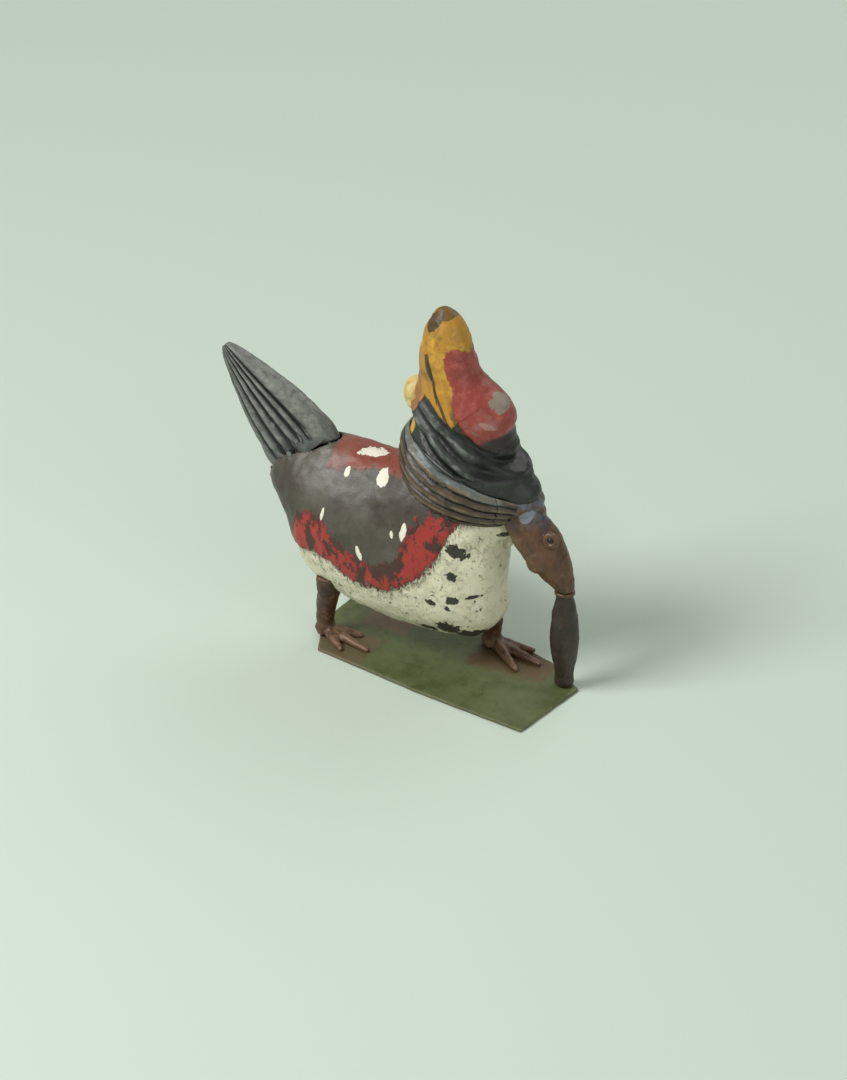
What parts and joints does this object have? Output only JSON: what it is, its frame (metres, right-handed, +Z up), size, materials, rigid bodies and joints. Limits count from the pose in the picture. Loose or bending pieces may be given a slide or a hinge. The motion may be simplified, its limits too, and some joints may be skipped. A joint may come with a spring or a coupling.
{
  "type": "wind-up pecking bird",
  "caption": "Wind-up toy bird with a tall crest and cocked tail that nods its long bill to a thin green stand.",
  "frame": {"origin": "middle of the underside of the base plate, on the bird's mid-plane, where the toy rests", "axes": "+X forwards towards the bill, +Y the bird's left, +Z up"},
  "size_m": [0.1133, 0.052, 0.1126],
  "materials": {
    "green_paint": "worn",
    "dark_paint": "worn",
    "collar_paint": "worn",
    "yellow_paint": "worn",
    "red_paint": "worn",
    "brown_paint": "worn",
    "black_brown_paint": "worn",
    "grey_green_paint": "worn",
    "steel": "satin",
    "spring_steel": "satin",
    "brass": "satin"
  },
  "bodies": {
    "housing": {"base_plate": "green_paint", "right_leg": "black_brown_paint", "left_leg": "brown_paint", "leg_rivets": "steel", "body_right_shell": "dark_paint", "body_left_shell": "dark_paint", "collar_yoke": "collar_paint", "collar_lower_band": "collar_paint", "collar_middle_band": "collar_paint", "collar_hem_band": "collar_paint", "neck_pin": "steel", "tail_pin": "steel", "frame_plate_right": "brass", "frame_plate_left": "brass", "frame_pillars": "steel", "pillar_screws": "steel", "frame_stays": "steel", "mainspring": "spring_steel", "key_bush": "brass", "stop_rivet": "steel"},
    "key_and_great_wheel": {"winding_key": "steel", "spring_arbor": "steel", "ratchet_wheel": "steel", "great_wheel": "brass", "click_rivet": "steel"},
    "click_pawl": {"click": "steel"},
    "second_wheel_set": {"second_arbor": "steel", "second_pinion": "steel", "second_wheel": "brass"},
    "third_wheel_set": {"third_arbor": "steel", "third_pinion": "steel", "third_wheel": "brass", "crank_disc": "brass", "crank_pin": "steel", "tail_cam": "brass"},
    "fly_set": {"fly_arbor": "steel", "fly_pinion": "steel", "fly_fan": "steel"},
    "brake": {"stop_lever": "steel"},
    "neck_and_head": {"neck_right_shell": "collar_paint", "neck_left_shell": "collar_paint", "crest_right_shell": "yellow_paint", "crest_left_shell": "yellow_paint", "crest_red_panels": "red_paint", "nape_knob": "yellow_paint", "throat_bands": "collar_paint", "head_right_shell": "brown_paint", "head_left_shell": "brown_paint", "eyes": "brown_paint", "bill": "black_brown_paint", "bill_ring": "brown_paint", "neck_lever": "steel"},
    "tail": {"tail_right_shell": "grey_green_paint", "tail_left_shell": "grey_green_paint", "tail_lever": "steel"}
  },
  "joints": [
    {"name": "key_turn", "type": "hinge", "parent": "housing", "child": "key_and_great_wheel", "pos_m": [-0.031, 0, 0.038], "axis": [0, 1, 0], "continuous": true},
    {"name": "click_lift", "type": "hinge", "parent": "key_and_great_wheel", "child": "click_pawl", "pos_m": [-0.02323, 0, 0.03868], "axis": [0, 1, 0], "range_deg": [0, 12]},
    {"name": "second_wheel_turn", "type": "hinge", "parent": "housing", "child": "second_wheel_set", "pos_m": [-0.01761, 0, 0.03313], "axis": [0, 1, 0], "continuous": true},
    {"name": "third_wheel_turn", "type": "hinge", "parent": "housing", "child": "third_wheel_set", "pos_m": [-0.01942, 0, 0.04337], "axis": [0, 1, 0], "continuous": true},
    {"name": "fly_turn", "type": "hinge", "parent": "housing", "child": "fly_set", "pos_m": [-0.01039, 0, 0.04008], "axis": [0, 1, 0], "continuous": true},
    {"name": "stop_lever_swing", "type": "hinge", "parent": "housing", "child": "brake", "pos_m": [-0.006, 0, 0.0295], "axis": [0, 1, 0], "range_deg": [0, 10]},
    {"name": "neck_nod", "type": "hinge", "parent": "housing", "child": "neck_and_head", "pos_m": [0.0045, 0, 0.066], "axis": [0, -1, 0], "range_deg": [0, 9]},
    {"name": "tail_bob", "type": "hinge", "parent": "housing", "child": "tail", "pos_m": [-0.0486, 0, 0.0564], "axis": [0, 1, 0], "range_deg": [0, 5]}
  ],
  "couplings": [
    {"joint": "second_wheel_turn", "follows": "key_turn", "ratio": -3.75},
    {"joint": "third_wheel_turn", "follows": "key_turn", "ratio": 12.5},
    {"joint": "fly_turn", "follows": "key_turn", "ratio": -37.5}
  ]
}
